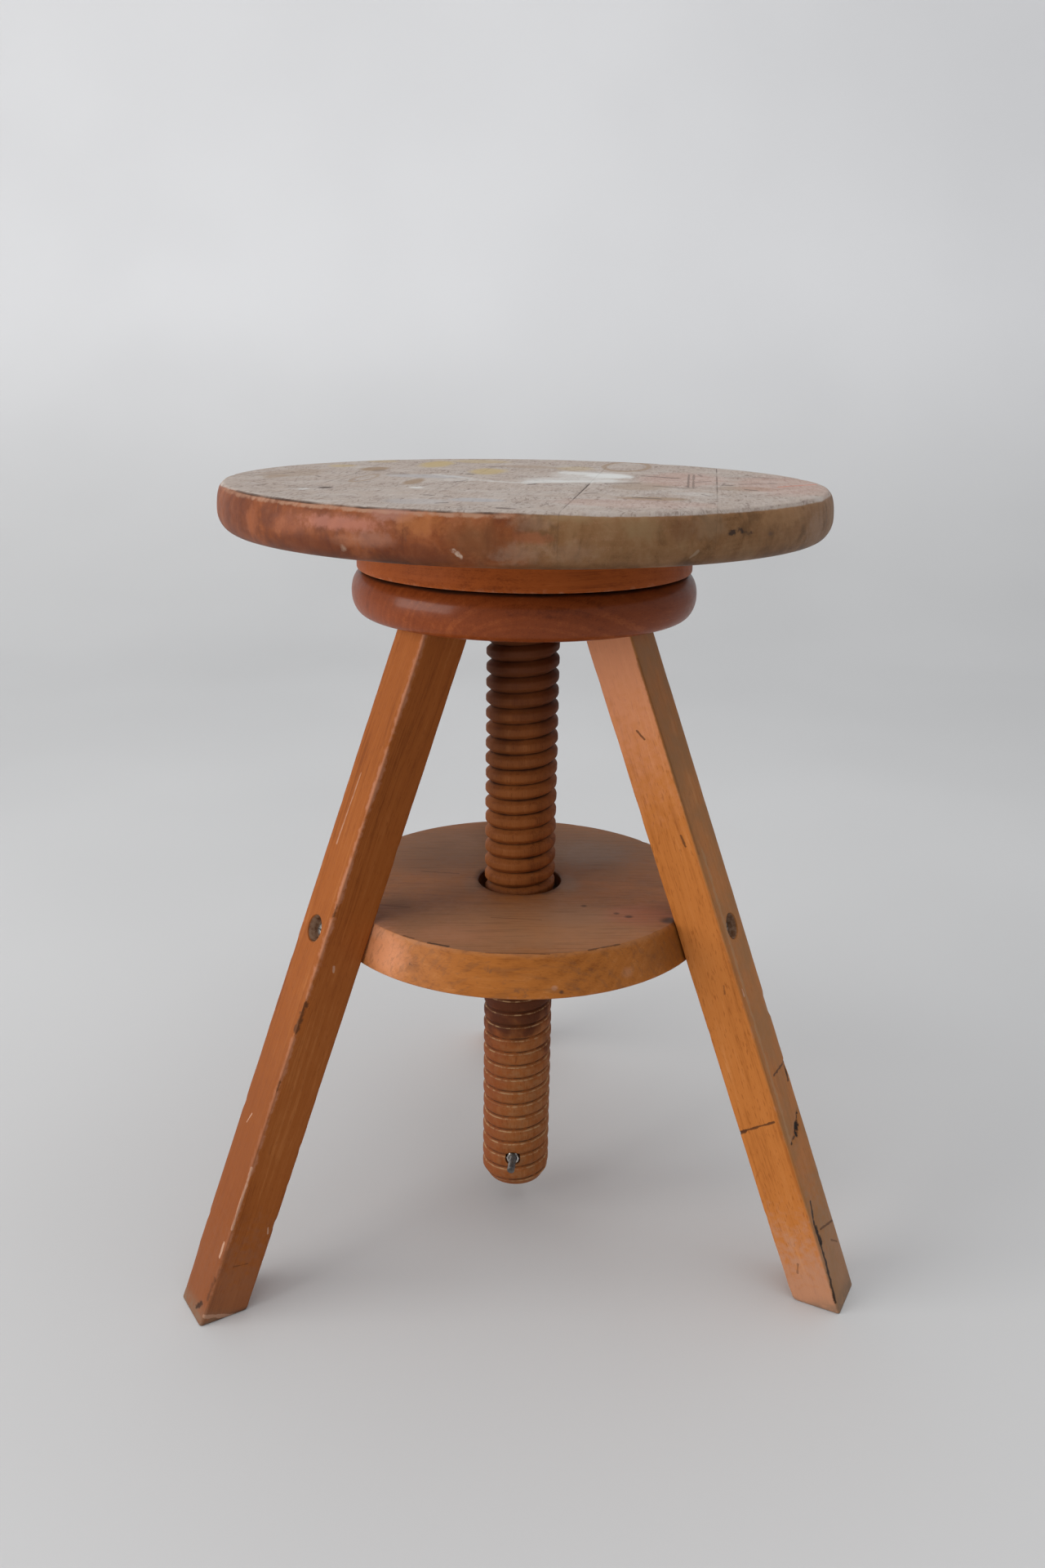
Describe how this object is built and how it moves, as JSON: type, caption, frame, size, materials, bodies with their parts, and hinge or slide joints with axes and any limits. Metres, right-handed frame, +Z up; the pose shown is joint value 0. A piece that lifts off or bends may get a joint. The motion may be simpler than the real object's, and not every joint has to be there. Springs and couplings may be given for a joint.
{
  "type": "three leg stool",
  "caption": "Round wooden stool on splayed legs, with a wooden screw that raises the seat as it is turned and a lower disc that ties the legs.",
  "frame": {"origin": "middle of the stool's footprint box, on the floor; the spindle's axis stands 28.25 mm towards -Y of it, because the rear leg reaches further out than the seat's front", "axes": "+Z up along the spindle, +Y towards the rear leg, +X to the right as seen from the front"},
  "size_m": [0.425, 0.4166, 0.4933],
  "materials": {
    "seat_wood": "worn, greyed, satin rim",
    "varnished_wood": "worn orange varnish",
    "turned_wood": "red-brown varnish, glossy",
    "screw_wood": "matte, waxed",
    "steel": "dull, oxidised"
  },
  "bodies": {
    "frame": {"hub": "turned_wood", "leg_left": "varnished_wood", "leg_right": "varnished_wood", "leg_rear": "varnished_wood", "lower_disc": "varnished_wood", "leg_screw_left": "steel", "leg_screw_right": "steel", "leg_screw_rear": "steel"},
    "lift": {"spindle_lag_screw": "steel"},
    "seat": {"seat_board_1": "seat_wood", "seat_board_2": "seat_wood", "seat_board_3": "seat_wood", "seat_board_4": "seat_wood", "seat_board_5": "seat_wood", "seat_flange": "turned_wood", "seat_screw_1": "steel", "seat_screw_2": "steel", "seat_screw_3": "steel", "seat_screw_4": "steel", "screw_spindle": "screw_wood", "stop_bolt": "steel", "stop_nut": "steel"}
  },
  "joints": [
    {"name": "seat_lift", "type": "slide", "parent": "frame", "child": "lift", "axis": [0, 0, 1], "range_m": [0, 0.169]},
    {"name": "seat_turn", "type": "hinge", "parent": "lift", "child": "seat", "pos_m": [0, -0.02825, 0.428], "axis": [0, 0, 1], "range_deg": [0, 6200]}
  ],
  "couplings": [
    {"joint": "seat_lift", "follows": "seat_turn", "m_per_rad": 0.0015613}
  ]
}
